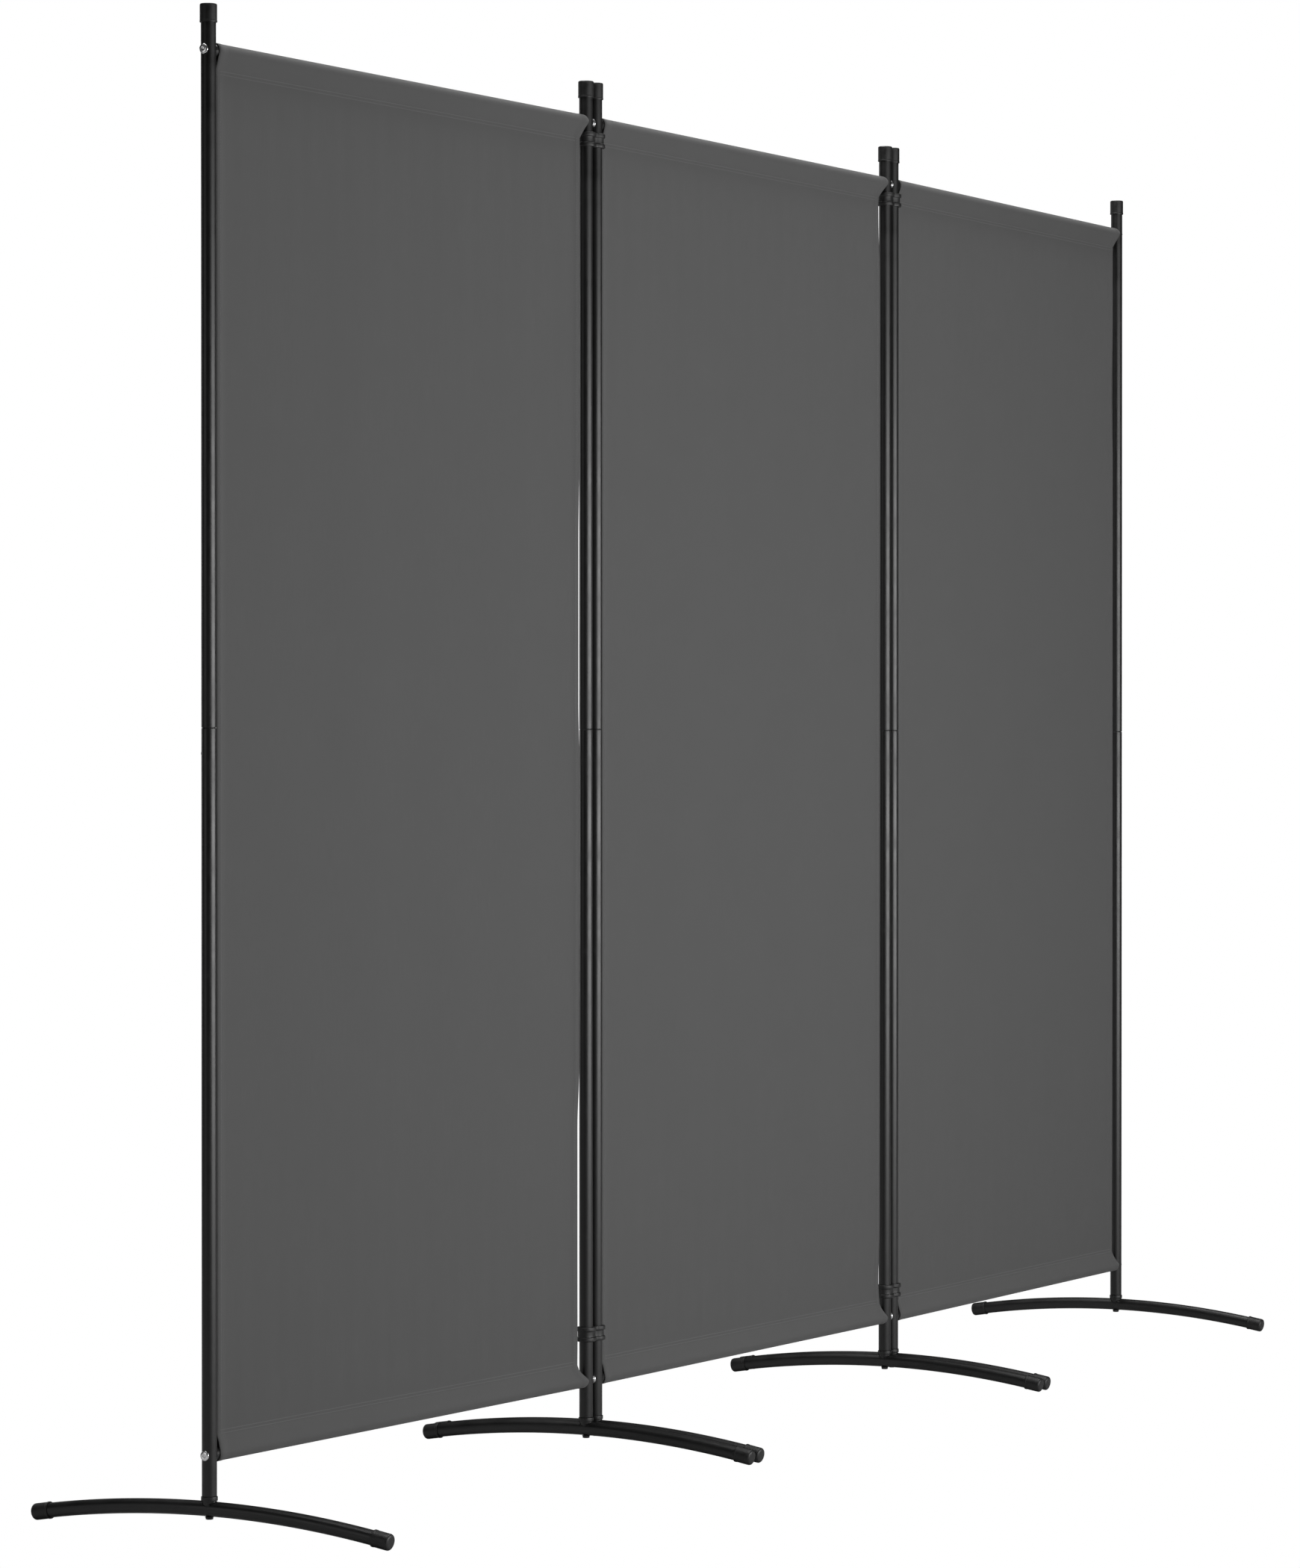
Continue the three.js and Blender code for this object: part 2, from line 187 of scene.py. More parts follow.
BOLT_LENGTH = 38 * MM
FOOT_BODIES = {  # what the foot under each pole rides on
    "left_panel_left": "foot_left",
    "left_panel_right": "hinge_left",
    "centre_panel_left": "hinge_left",
    "centre_panel_right": "hinge_right",
    "right_panel_left": "hinge_right",
    "right_panel_right": "foot_right",
}

# The camera, in metres from the middle of the centre panel.
CAMERA_OFFSET = Vector((-6.3483, -3.463))
CAMERA_HEIGHT = 0.9391
CAMERA_YAW = math.radians(29.69)  # from straight along the screen
CAMERA_PITCH = math.radians(-0.47)
CAMERA_LENS = 119
CAMERA_SENSOR = 36

# Soft boxes: (name, place, target, (width, height), watts).
LIGHTS = [
    ("key", (-0.15, -3.2, 0.98), (-0.15, 0, 0.98), (4.0, 1.3), 132),
    ("overhead", (0, 0.3, 4.0), (0, 0.3, 0), (4.5, 2.0), 160),
    ("back", (0.6, 4.5, 1.4), (0, 0, 1.0), (4.0, 2.0), 28),
    ("side", (-5.0, 1.6, 1.3), (-1.2, 0, 1.0), (2.5, 2.0), 13),
]
BACKDROP_LEVEL = 1.0  # of the white that the camera sees
AMBIENT_LEVEL = 0.02  # of the grey that lights the object from everywhere
FLOOR_SIZE = 60  # from its middle to its edges


# ---------------------------------------------------------------- materials


def material(name, color, **settings):
    """A Principled material, with its even values set on the shader's own sockets."""
    made = bpy.data.materials.new(name)
    made.use_nodes = True
    shader = made.node_tree.nodes["Principled BSDF"]
    shader.inputs["Base Color"].default_value = color
    for socket, value in settings.items():
        shader.inputs[socket.replace("_", " ")].default_value = value
    return made


def fill(made, socket, value):
    """Links a socket to another one, or sets it to a value."""
    if isinstance(value, bpy.types.NodeSocket):
        made.node_tree.links.new(value, socket)
    else:
        socket.default_value = value


def add_node(made, kind, **inputs):
    """A node of this kind whose named inputs are set to values or linked to sockets."""
    node = made.node_tree.nodes.new("ShaderNode" + kind)
    for name, value in inputs.items():
        fill(made, node.inputs[name], value)
    return node


def math_node(made, operation, *values):
    node = made.node_tree.nodes.new("ShaderNodeMath")
    node.operation = operation
    for socket, value in zip(node.inputs, values):
        fill(made, socket, value)
    return node.outputs[0]


def stretched(made, point, scale):
    """The point with each of its axes multiplied by its own scale."""
    node = made.node_tree.nodes.new("ShaderNodeVectorMath")
    node.operation = "MULTIPLY"
    fill(made, node.inputs[0], point)
    fill(made, node.inputs[1], scale)
    return node.outputs["Vector"]


def object_point(made):
    return made.node_tree.nodes.new("ShaderNodeTexCoord").outputs["Object"]


def noise(made, point, scale, detail=2.0, roughness=0.5):
    """Noise with about this many patches to a metre, or to a unit of a stretched point."""
    node = add_node(made, "TexNoise", Vector=point, Scale=scale, Detail=detail, Roughness=roughness)
    return node.outputs["Fac"]


def ranged(made, value, low, high, start=0.3, end=0.7):
    """Maps start to end, as a rule the middle of a noise's range, onto low to high."""
    node = add_node(made, "MapRange", Value=value)
    node.inputs["From Min"].default_value = start
    node.inputs["From Max"].default_value = end
    node.inputs["To Min"].default_value = low
    node.inputs["To Max"].default_value = high
    return node.outputs["Result"]


def blended(made, factor, first, second):
    """The first colour where the factor is 0 and the second where it is 1."""
    node = made.node_tree.nodes.new("ShaderNodeMix")
    node.data_type = "RGBA"
    fill(made, node.inputs["Factor"], factor)
    fill(made, node.inputs["A"], first)
    fill(made, node.inputs["B"], second)
    return node.outputs["Result"]


def grey(level):
    return (level, level, level, 1)


def into_shader(made, **links):
    shader = made.node_tree.nodes["Principled BSDF"]
    for name, value in links.items():
        made.node_tree.links.new(value, shader.inputs[name.replace("_", " ")])


def bump(made, height, distance, strength=1.0, normal=None):
    node = add_node(made, "Bump", Height=height, Distance=distance, Strength=strength)
    if normal is not None:
        made.node_tree.links.new(normal, node.inputs["Normal"])
    return node.outputs["Normal"]


def powder_coat():
    """Black powder-coated steel: orange peel, uneven gloss and faint rubbed marks."""
    made = material("black_powder_coat", grey(0.004), Specular_IOR_Level=0.5)
    point = object_point(made)
    peel = noise(made, point, 850.0, 3.0)
    sag = noise(made, point, 160.0, 1.0)
    rubs = noise(made, point, 55.0, 6.0, 0.7)
    rubbed = ranged(made, rubs, 0.0, 1.0, start=0.62, end=0.8)
    gloss = noise(made, point, 40.0, 4.0)
    into_shader(
        made,
        Base_Color=blended(made, rubbed, grey(0.004), grey(0.014)),
        Roughness=ranged(made, gloss, 0.34, 0.44),
        Normal=bump(made, peel, 0.02 * MM, 1.0, bump(made, sag, 0.03 * MM)),
    )
    return made


def moulded_plastic():
    """Black moulded plastic: a fine spark-eroded grain and a satin finish."""
    made = material("black_moulded_plastic", grey(0.006), Specular_IOR_Level=0.45)
    point = object_point(made)
    grain = noise(made, point, 2600.0, 2.0)
    flow = noise(made, point, 120.0, 3.0)
    into_shader(
        made,
        Base_Color=blended(made, ranged(made, flow, 0.0, 1.0), grey(0.004), grey(0.008)),
        Roughness=ranged(made, flow, 0.4, 0.55),
        Normal=bump(made, grain, 0.02 * MM),
    )
    return made


def zinc_plate():
    """Bright zinc-plated steel with fine turning marks."""
    made = material("bright_zinc_plate", grey(0.82), Metallic=1.0)
    point = object_point(made)
    haze = noise(made, point, 600.0, 3.0)
    marks = noise(made, point, 1800.0)
    into_shader(
        made,
        Base_Color=blended(made, ranged(made, haze, 0.0, 1.0), (0.76, 0.76, 0.77, 1), grey(0.9)),
        Roughness=ranged(made, marks, 0.2, 0.34),
        Normal=bump(made, haze, 0.01 * MM),
    )
    return made


def yarn_rise(made, position):
    """0 between two yarns that are one unit apart, and 1 along the middle of each."""
    wave = math_node(made, "SINE", math_node(made, "MULTIPLY", position, math.pi))
    return math_node(made, "ABSOLUTE", wave)


def passing_over(made, yarn, other):
    """The rise of a yarn on top of another, highest where the two cross."""
    return math_node(made, "MULTIPLY", yarn, math_node(made, "MULTIPLY_ADD", other, 0.5, 0.5))


def plain_weave(made, point):
    """The height of a plain weave, in which warp and weft take turns on top."""
    split = add_node(made, "SeparateXYZ", Vector=stretched(made, point, (1 / YARN, 1 / YARN, 0)))
    across, along = split.outputs["X"], split.outputs["Y"]
    warp, weft = yarn_rise(made, across), yarn_rise(made, along)
    cell = math_node(made, "ADD", math_node(made, "FLOOR", across), math_node(made, "FLOOR", along))
    warp_on_top = math_node(made, "FLOORED_MODULO", cell, 2.0)
    weft_on_top = math_node(made, "SUBTRACT", 1.0, warp_on_top)
    over = math_node(made, "MULTIPLY", passing_over(made, warp, weft), warp_on_top)
    under = math_node(made, "MULTIPLY", passing_over(made, weft, warp), weft_on_top)
    return math_node(made, "ADD", over, under)


def woven_cloth():
    """Dark grey plain-weave polyester, with shade painted into the hollows of its weave. The map "weave"
    holds metres across and along the cloth.
    """
    made = material(
        "grey_woven_polyester",
        grey(0.079),
        Specular_IOR_Level=0.15,
        Sheen_Weight=0.06,
        Sheen_Roughness=0.5,
    )
    weave_map = made.node_tree.nodes.new("ShaderNodeUVMap")
    weave_map.uv_map = "weave"
    point = weave_map.outputs["UV"]
    lift = plain_weave(made, point)
    slubs = noise(made, stretched(made, point, SLUBS_PER_METRE), 1.0)
    mottle = noise(made, point, 9.0, 5.0, 0.6)
    slubbed = blended(made, ranged(made, slubs, 0.0, 1.0), grey(0.071), grey(0.086))
    clouded = blended(made, ranged(made, mottle, 0.0, 0.6), slubbed, grey(0.075))
    # Painted shade: the colour is darkened towards grey(0.04), by up to 35 per cent, in the hollows
    # between the raised yarns.
    weave_hollow_shade = math_node(made, "MULTIPLY_ADD", lift, -0.35, 0.35)
    into_shader(
        made,
        Base_Color=blended(made, weave_hollow_shade, clouded, grey(0.04)),
        Roughness=ranged(made, slubs, 0.82, 0.95),
        Normal=bump(made, lift, 0.08 * MM, 0.6, bump(made, slubs, 0.05 * MM, 0.4)),
    )
    return made


def sewing_thread():
    """Grey polyester thread, a little glossier than the cloth, with its twist."""
    made = material("grey_sewing_thread", grey(0.1), Roughness=0.6, Sheen_Weight=0.1)
    point = object_point(made)
    twist = noise(made, point, 3000.0, 1.0)
    into_shader(
        made,
        Base_Color=blended(made, ranged(made, twist, 0.0, 1.0), grey(0.07), grey(0.12)),
        Normal=bump(made, twist, 0.05 * MM),
    )
    return made


STEEL = (powder_coat(), "black_steel")
PLASTIC = (moulded_plastic(), "black_plastic")
ZINC = (zinc_plate(), "zinc_steel")
CLOTH = (woven_cloth(), "grey_cloth")
THREAD = (sewing_thread(), "grey_cloth")


# ---------------------------------------------------------------- mesh tools


def rounded(corners, steps=5):
    """The outline through (x, y, rounding) corners, each rounded off by a short curve."""
    points = []
    for index, (x, y, rounding) in enumerate(corners):
        corner = Vector((x, y))
        if not rounding:
            points.append(corner)
            continue
        before = Vector(corners[index - 1][:2])
        after = Vector(corners[(index + 1) % len(corners)][:2])
        start = corner + (before - corner).normalized() * rounding
        end = corner + (after - corner).normalized() * rounding
        for step in range(steps + 1):
            share = step / steps
            points.append(start.lerp(corner, share).lerp(corner.lerp(end, share), share))
    return points


def circle_angles(count):
    return [2 * math.pi * index / count for index in range(count)]


def join_rings(bm, first, second, closed=True):
    """Faces between two rows of vertices. A row of one vertex is a point that the other fans from."""
    count = max(len(first), len(second))
    for index in range(count if closed else count - 1):
        after = (index + 1) % count
        corners = [first[index % len(first)], first[after % len(first)]]
        corners += [second[after % len(second)], second[index % len(second)]]
        bm.faces.new(list(dict.fromkeys(corners)))


def finished(bm, name):
    """The mesh, with its faces outwards, smooth except at its sharp edges."""
    bmesh.ops.recalc_face_normals(bm, faces=bm.faces)
    mesh = bpy.data.meshes.new(name)
    bm.to_mesh(mesh)
    bm.free()
    mesh.shade_smooth()
    mesh.set_sharp_from_angle(angle=SHARP_ANGLE)
    return mesh


def hexagonal(angle):
    """A hexagon's radius in a direction, against a radius of 1 at its corners."""
    sixth = math.pi / 3
    return math.cos(sixth / 2) / math.cos(angle % sixth - sixth / 2)


def turn_profile(bm, profile, loop=False, six_sided=()):
    """Turns (radius, height) points about Z; the rows numbered in six_sided are hexagons."""
    rings = []
    for row, (radius, height) in enumerate(profile):
        if radius == 0:
            rings.append([bm.verts.new((0, 0, height))])
            continue
        ring = []
        for angle in circle_angles(SIDES):
            reach = radius * (hexagonal(angle) if row in six_sided else 1)
            ring.append(bm.verts.new((reach * math.cos(angle), reach * math.sin(angle), height)))
        rings.append(ring)
    for first, second in zip(rings, rings[1:]):
        join_rings(bm, first, second)
    if loop:
        join_rings(bm, rings[-1], rings[0])


def turned(name, profile, loop=False, six_sided=()):
    bm = bmesh.new()
    turn_profile(bm, profile, loop, six_sided)
    return finished(bm, name)


def add_piece(name, mesh, finish, place, body, *replaced):
    """Places a mesh as a piece of the object, in its finish, riding on a body."""
    surface, slot = finish
    mesh.materials.append(surface)
    piece = bpy.data.objects.new(name, mesh)
    bpy.context.scene.collection.objects.link(piece)
    piece.matrix_world = place
    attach(piece, body)
    if replaced:
        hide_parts(*replaced)
    return piece


def at(point, angle, height=0.0):
    """A place above or below a point, turned about Z."""
    return Matrix.Translation((point.x, point.y, height)) @ Matrix.Rotation(angle, 4, "Z")


def node_middle(node):
    low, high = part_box(node)
    return (low + high) / 2


def z_range(node):
    low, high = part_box(node)
    return low.z, high.z


def direction(start, end):
    return math.atan2(end.y - start.y, end.x - start.x)


# ---------------------------------------------------------------- poles


def lower_tube(foot, joint):
    """The lower length of a pole, open at the top, with its plug in the bottom."""
    plug_top = foot + POLE_PLUG_HEIGHT
    corners = [
        (SCREW_RADIUS, foot, 0),
        (TUBE_RADIUS, foot, RIM_ROUNDING),
        (TUBE_RADIUS, joint, JOINT_ROUNDING),
        (TUBE_RADIUS - JOINT_ROUNDING, joint, 0),
        (TUBE_BORE, joint - 0.2 * MM, 0),
        (TUBE_BORE, plug_top, 0),
        (SCREW_RADIUS, plug_top, 0),
    ]
    return turned("lower_tube", rounded(corners), loop=True)


def upper_tube(spigot_end, shoulder, top):
    """The upper length, whose lower end is reduced to a spigot inside the lower length."""
    corners = [
        (SPIGOT_BORE, spigot_end, 0),
        (SPIGOT_RADIUS, spigot_end, 0.3 * MM),
        (SPIGOT_RADIUS, shoulder, 0),
        (TUBE_RADIUS, shoulder, JOINT_ROUNDING),
        (TUBE_RADIUS, top, RIM_ROUNDING),
        (TUBE_BORE, top, 0),
        (TUBE_BORE, shoulder + 1 * MM, 0),
        (SPIGOT_BORE, shoulder, 0),
    ]
    return turned("upper_tube", rounded(corners), loop=True)


def pole_cap(low, top):
    lip = low + CAP_LIP_HEIGHT
    corners = [
        (0, top, 0),
        (CAP_RADIUS, top, CAP_ROUNDING),
        (CAP_RADIUS, lip, 0.2 * MM),
        (CAP_LIP_RADIUS, lip - 0.5 * MM, 0.2 * MM),
        (CAP_LIP_RADIUS, low, 0.5 * MM),
        (CLEAR_RADIUS, low, 0.2 * MM),
        (CLEAR_RADIUS, top - CAP_WALL, 0),
        (0, top - CAP_WALL, 0),
    ]
    return turned("pole_cap", rounded(corners))


def joint_screw():
    """A small round head on the pole's surface, about Z from the pole's axis."""
    base = TUBE_RADIUS - 0.6 * MM  # sunk to where the tube's surface falls away
    face = TUBE_RADIUS + JOINT_SCREW_HEIGHT
    shank_end = base - 2 * MM
    corners = [
        (0, shank_end, 0),
        (JOINT_SCREW_SHANK_RADIUS, shank_end, 0),
        (JOINT_SCREW_SHANK_RADIUS, base, 0),
        (JOINT_SCREW_RADIUS, base, 0),
        (JOINT_SCREW_RADIUS, face, 1.1 * MM),
        (JOINT_SCREW_SOCKET_RADIUS, face, 0),
        (JOINT_SCREW_SOCKET_RADIUS, face - 0.8 * MM, 0),
        (0, face - 1 * MM, 0),
    ]
    profile = rounded(corners)
    return turned("joint_screw", profile, six_sided=(len(profile) - 3, len(profile) - 2))


def sideways(sign):
    """Turns a piece that stands along Z to point along +X or -X."""
    return Matrix.Rotation(sign * math.pi / 2, 4, "Y")


def build_pole(name, body, angle, joint_screw_side):
    """A pole's two lengths, its cap and its joint screw. Returns the pole's axis."""
    lower, upper, cap = f"{name}_pole_lower", f"{name}_pole_upper", f"{name}_pole_cap"
    axis = node_middle(lower)
    place = at(axis, angle)
    foot, joint = z_range(lower)
    spigot_end, top = z_range(upper)
    add_piece(name + "_lower_tube", lower_tube(foot, joint), STEEL, place, body, lower)
    upper_mesh = upper_tube(spigot_end, joint + JOINT_GAP, top)
    add_piece(name + "_upper_tube", upper_mesh, STEEL, place, body, upper)
    add_piece(name + "_top_cap", pole_cap(*z_range(cap)), PLASTIC, place, body, cap)
    screw_place = at(axis, angle + joint_screw_side, joint - JOINT_SCREW_DROP) @ sideways(1)
    add_piece(name + "_joint_screw", joint_screw(), ZINC, screw_place, body)
    return axis


# ---------------------------------------------------------------- cross bars


def coped_bar(half_span):
    """A tube along X whose ends are cut to sit round the poles."""
    bm = bmesh.new()
    rings = []
    for radius, end in ((BAR_RADIUS, -1), (BAR_RADIUS, 1), (BAR_BORE, 1), (BAR_BORE, -1)):
        ring = []
        for angle in circle_angles(SIDES):
            y, z = radius * math.cos(angle), radius * math.sin(angle)
            reach = half_span - math.sqrt(CLEAR_RADIUS**2 - y**2)
            ring.append(bm.verts.new((end * reach, y, z)))
        rings.append(ring)
    for first, second in zip(rings, rings[1:] + rings[:1]):
        join_rings(bm, first, second)
    return finished(bm, "cross_bar")


def bar_screw():
    """A screw along Z from the pole's axis: shank, domed head and hexagon socket."""
    start = CLEAR_RADIUS
    face = start + SCREW_HEAD_HEIGHT
    corners = [
        (0, -SCREW_REACH, 0),
        (SCREW_RADIUS, -SCREW_REACH, 0.5 * MM),
        (SCREW_RADIUS, start, 0),
        (SCREW_HEAD_RADIUS, start, 0.2 * MM),
        (SCREW_HEAD_RADIUS, start + SCREW_HEAD_RIM, 0.4 * MM),
        (SCREW_HEAD_TOP_RADIUS, face - 0.3 * MM, 0.8 * MM),
        (SOCKET_RADIUS + 0.5 * MM, face, 0.2 * MM),
        (SOCKET_RADIUS, face - 0.2 * MM, 0),
        (SOCKET_RADIUS, face - SOCKET_DEPTH, 0),
        (0, face - SOCKET_DEPTH - 0.5 * MM, 0),
    ]
    profile = rounded(corners)
    return turned("bar_screw", profile, six_sided=(len(profile) - 3, len(profile) - 2))


def build_bars(panel, body, axes, angle):
    """A panel's two cross bars and four screws. Returns what its cloth is fitted to."""
    half_span = (axes["right"] - axes["left"]).xy.length / 2
    middle = (axes["left"] + axes["right"]) / 2
    heights = {}
    for level in ("bottom", "top"):
        node = f"{panel}_{level}_bar"
        heights[level] = node_middle(node).z
        place = at(middle, angle, heights[level])
        add_piece(f"{panel}_{level}_rod", coped_bar(half_span), STEEL, place, body, node)
        for side, outward in (("left", -1), ("right", 1)):
            place = at(axes[side], angle, heights[level]) @ sideways(outward)
            add_piece(f"{panel}_{side}_{level}_screw", bar_screw(), ZINC, place, body)
    return half_span, middle, heights


# ---------------------------------------------------------------- cloth


def smooth_step(value, start, end):
    share = min(max((value - start) / (end - start), 0.0), 1.0)
    return share * share * (3 - 2 * share)


def gap_at(height, gaps):
    """The gap beside a cloth at a height, eased from one (height, gap) pair to the next."""
    gap = gaps[0][1]
    for (low, before), (high, after) in zip(gaps, gaps[1:]):
        gap += (after - before) * smooth_step(height, low, high)
    return gap


def sleeve_profile():
    """(y, z) of the cloth round a bar, from the seam up the front, over and down the back."""
    spread = math.acos(SLEEVE_RADIUS / SEAM_DROP)
    front = Vector((-SLEEVE_RADIUS * math.sin(spread), -SLEEVE_RADIUS * math.cos(spread)))
    back = Vector((-front.x, front.y))
    seam, under = Vector((0, -SEAM_DROP)), Vector((BACK_LAYER, -SEAM_DROP))
    wrap_steps, side_steps = 18, 6
    points = [seam.lerp(front, step / side_steps) for step in range(side_steps)]
    for step in range(wrap_steps + 1):
        angle = spread + (2 * math.pi - 2 * spread) * step / wrap_steps
        points.append(Vector((-SLEEVE_RADIUS * math.sin(angle), -SLEEVE_RADIUS * math.cos(angle))))
    points += [back.lerp(under, step / side_steps) for step in range(1, side_steps + 1)]
    points.append(under - Vector((0, SEAM_ALLOWANCE)))
    return points


def cloth_rows(bottom, top):
    """Rows of (y, z) from the bottom sleeve's hem to the top one's."""
    loop = sleeve_profile()
    rows = [Vector((point.x, bottom - point.y)) for point in reversed(loop)]
    low, high = bottom + SEAM_DROP, top - SEAM_DROP
    rows += [Vector((0, low + (high - low) * step / CLOTH_ROWS)) for step in range(1, CLOTH_ROWS)]
    rows += [Vector((point.x, top + point.y)) for point in loop]
    return rows


def hem_columns(left, right):
    """x of each column: close together at the hems, where the cloth is doubled, evenly between."""
    step = 0.7 * MM  # over which the doubled edge gives way to the single cloth
    first, last = left + HEM_WIDTH + step, right - HEM_WIDTH - step
    columns = [left, left + HEM_WIDTH / 2, left + HEM_WIDTH]
    columns += [first + (last - first) * index / CLOTH_COLUMNS for index in range(CLOTH_COLUMNS + 1)]
    return columns + [right - HEM_WIDTH, right - HEM_WIDTH / 2, right]


def flare_share(height, bottom, top):
    """0 in the sleeves' ends and 1 where the cloth has its free width, with straight flares between."""
    from_bottom = (height - bottom - FLARE_END) / (BOTTOM_FLARE_START - FLARE_END)
    from_top = (top - height - FLARE_END) / (TOP_FLARE_START - FLARE_END)
    return min(max(min(from_bottom, from_top), 0.0), 1.0)


def cloth_edges(depth, height, half_span, bottom, top, gaps):
    """x of the cloth's two side edges at a (y, z), with the corners widened into the sleeves."""
    reach = half_span - TUBE_RADIUS
    share = flare_share(height, bottom, top)
    left = SLEEVE_GAP + (LEFT_GAP - SLEEVE_GAP) * share
    saddle = TUBE_RADIUS - math.sqrt(max(TUBE_RADIUS**2 - depth**2, 0.0))
    sleeve_right = SLEEVE_GAP - SADDLE_SHARE * saddle
    right = sleeve_right + (gap_at(height, gaps) - sleeve_right) * share
    return left - reach, reach - right


def wave_height(waves, x, drift, phase):
    """The height of several waves together."""
    total = 0.0
    for height, length, drift_share, phase_share in waves:
        total += height * math.sin(2 * math.pi * (x + drift_share * drift) / length + phase_share * phase)
    return total


def ripple(x, height, bottom, top, phase):
    """How far the stretched cloth stands out at a point: long waves, and creases near its ends."""
    low, high = bottom + SEAM_DROP, top - SEAM_DROP
    if not low < height < high:
        return 0.0
    share = (height - low) / (high - low)
    drift = WAVE_DRIFT * math.sin(2 * math.pi * share + phase)
    swell = math.sin(math.pi * share) ** 0.5
    near_ends = math.exp((share - 1) * CREASE_FADE) + math.exp(-share * CREASE_FADE)
    waves = wave_height(LONG_WAVES, x, drift, phase) * swell
    waves += wave_height(CREASES, x, drift, phase) * near_ends
    return waves * smooth_step(share, 0, FLAT_SHARE) * smooth_step(1 - share, 0, FLAT_SHARE)


def cloth_mesh(half_span, bottom, top, gaps, phase):
    """The sheet as one surface, the thickness at each vertex as a share of the hem's, and its length."""
    bm = bmesh.new()
    weave = bm.loops.layers.uv.new("weave")
    rows, places, thickness = [], {}, []
    along = 0.0
    profile = cloth_rows(bottom, top)
    for index, point in enumerate(profile):
        if index:
            along += (point - profile[index - 1]).length
        left, right = cloth_edges(point.x, point.y, half_span, bottom, top, gaps)
        columns = hem_columns(left, right)
        row = []
        for column, x in enumerate(columns):
            y = point.x + ripple(x, point.y, bottom, top, phase)
            vertex = bm.verts.new((x, y, point.y))
            places[vertex] = (x, along)
            in_hem = min(column, len(columns) - 1 - column) < HEM_COLUMNS
            thickness.append(1.0 if in_hem else CLOTH_THICKNESS / HEM_THICKNESS)
            row.append(vertex)
        rows.append(row)
    for first, second in zip(rows, rows[1:]):
        join_rings(bm, first, second, closed=False)
    for face in bm.faces:
        for corner in face.loops:
            corner[weave].uv = places[corner.vert]
    return finished(bm, "cloth"), thickness, along


def add_stitch(bm, centre, along, across, through):
    """One stitch: a blunt bead through the cloth, from half-lengths along, across and through."""
    rings = []
    for share, size in ((-1, 0.55), (-0.7, 1), (0.7, 1), (1, 0.55)):
        middle = centre + along * share
        ring = [middle + across + through * size, middle - across + through * size]
        ring += [middle - across - through * size, middle + across - through * size]
        rings.append([bm.verts.new(point) for point in ring])
    for first, second in zip(rings, rings[1:]):
        join_rings(bm, first, second)
    bm.faces.new(rings[0])
    bm.faces.new(rings[-1])


def stitching_mesh(half_span, bottom, top, gaps, phase):
    """Rows of stitches down both side hems and along both sleeve seams."""
    bm = bmesh.new()
    half_length, half_width = STITCH_LENGTH / 2, STITCH_WIDTH / 2
    hem_depth = HEM_THICKNESS / 2 + STITCH_RISE
    seam_depth = (BACK_LAYER + CLOTH_THICKNESS) / 2 + STITCH_RISE
    down_hem = [Vector((0, 0, half_length)), Vector((half_width, 0, 0)), Vector((0, hem_depth, 0))]
    along_seam = [Vector((half_length, 0, 0)), Vector((0, 0, half_width)), Vector((0, seam_depth, 0))]
    hem_inset = HEM_WIDTH - HEM_STITCH_INSET
    low, high = bottom + SEAM_DROP, top - SEAM_DROP
    for index in range(int((high - low) / STITCH_PITCH)):
        height = low + (index + 0.5) * STITCH_PITCH
        left, right = cloth_edges(0.0, height, half_span, bottom, top, gaps)
        for x in (left + hem_inset, right - hem_inset):
            centre = Vector((x, ripple(x, height, bottom, top, phase), height))
            add_stitch(bm, centre, *down_hem)
    for height, inward in ((low, 1), (high, -1)):
        left, right = cloth_edges(0.0, height, half_span, bottom, top, gaps)
        for row in (0, 1):
            z = height + inward * (SEAM_STITCH_INSET + row * SEAM_ROW_SPACING)
            for index in range(int((right - left) / STITCH_PITCH) - 1):
                x = left + (index + 1) * STITCH_PITCH
                add_stitch(bm, Vector((x, BACK_LAYER / 2, z)), *along_seam)
    return finished(bm, "stitching")


def build_cloth(panel, body, half_span, middle, heights, angle, gaps, phase):
    """A panel's sheet and its stitches."""
    shape = (half_span, heights["bottom"], heights["top"], gaps, phase)
    mesh, thickness, length = cloth_mesh(*shape)
    place = at(middle, angle)
    sheet = add_piece(panel + "_fabric", mesh, CLOTH, place, body, panel + "_cloth")
    group = sheet.vertex_groups.new(name="hem")
    for index, share in enumerate(thickness):
        group.add([index], share, "REPLACE")
    solid = sheet.modifiers.new("thickness", "SOLIDIFY")
    solid.thickness = HEM_THICKNESS
    solid.offset = 0
    solid.vertex_group = "hem"
    stitches = add_piece(panel + "_stitching", stitching_mesh(*shape), THREAD, place, body)


# ---------------------------------------------------------------- hinge clips


def arc_points(x, y, radius, start, end, steps):
    """Points along an arc, without its last one."""
    points = []
    for step in range(steps):
        angle = start + (end - start) * step / steps
        points.append((x + radius * math.cos(angle), y + radius * math.sin(angle)))
    return points


def clip_outline(half_distance, inset):
    """Two circles joined by hollow curves, from above, at a distance inside the clip's rim."""
    reach = CLIP_RADIUS + CLIP_HOLLOW_RADIUS
    hollow_y = math.sqrt(reach**2 - half_distance**2)
    open_angle = math.atan2(hollow_y, half_distance)
    radius, hollow = CLIP_RADIUS - inset, CLIP_HOLLOW_RADIUS + inset
    half = math.pi - open_angle
    around, between = CLIP_RING_STEPS, CLIP_HOLLOW_STEPS
    points = arc_points(half_distance, 0, radius, -half, half, around)
    points += arc_points(0, hollow_y, hollow, -open_angle, open_angle - math.pi, between)
    points += arc_points(-half_distance, 0, radius, open_angle, 2 * math.pi - open_angle, around)
    points += arc_points(0, -hollow_y, hollow, half, open_angle, between)
    return points


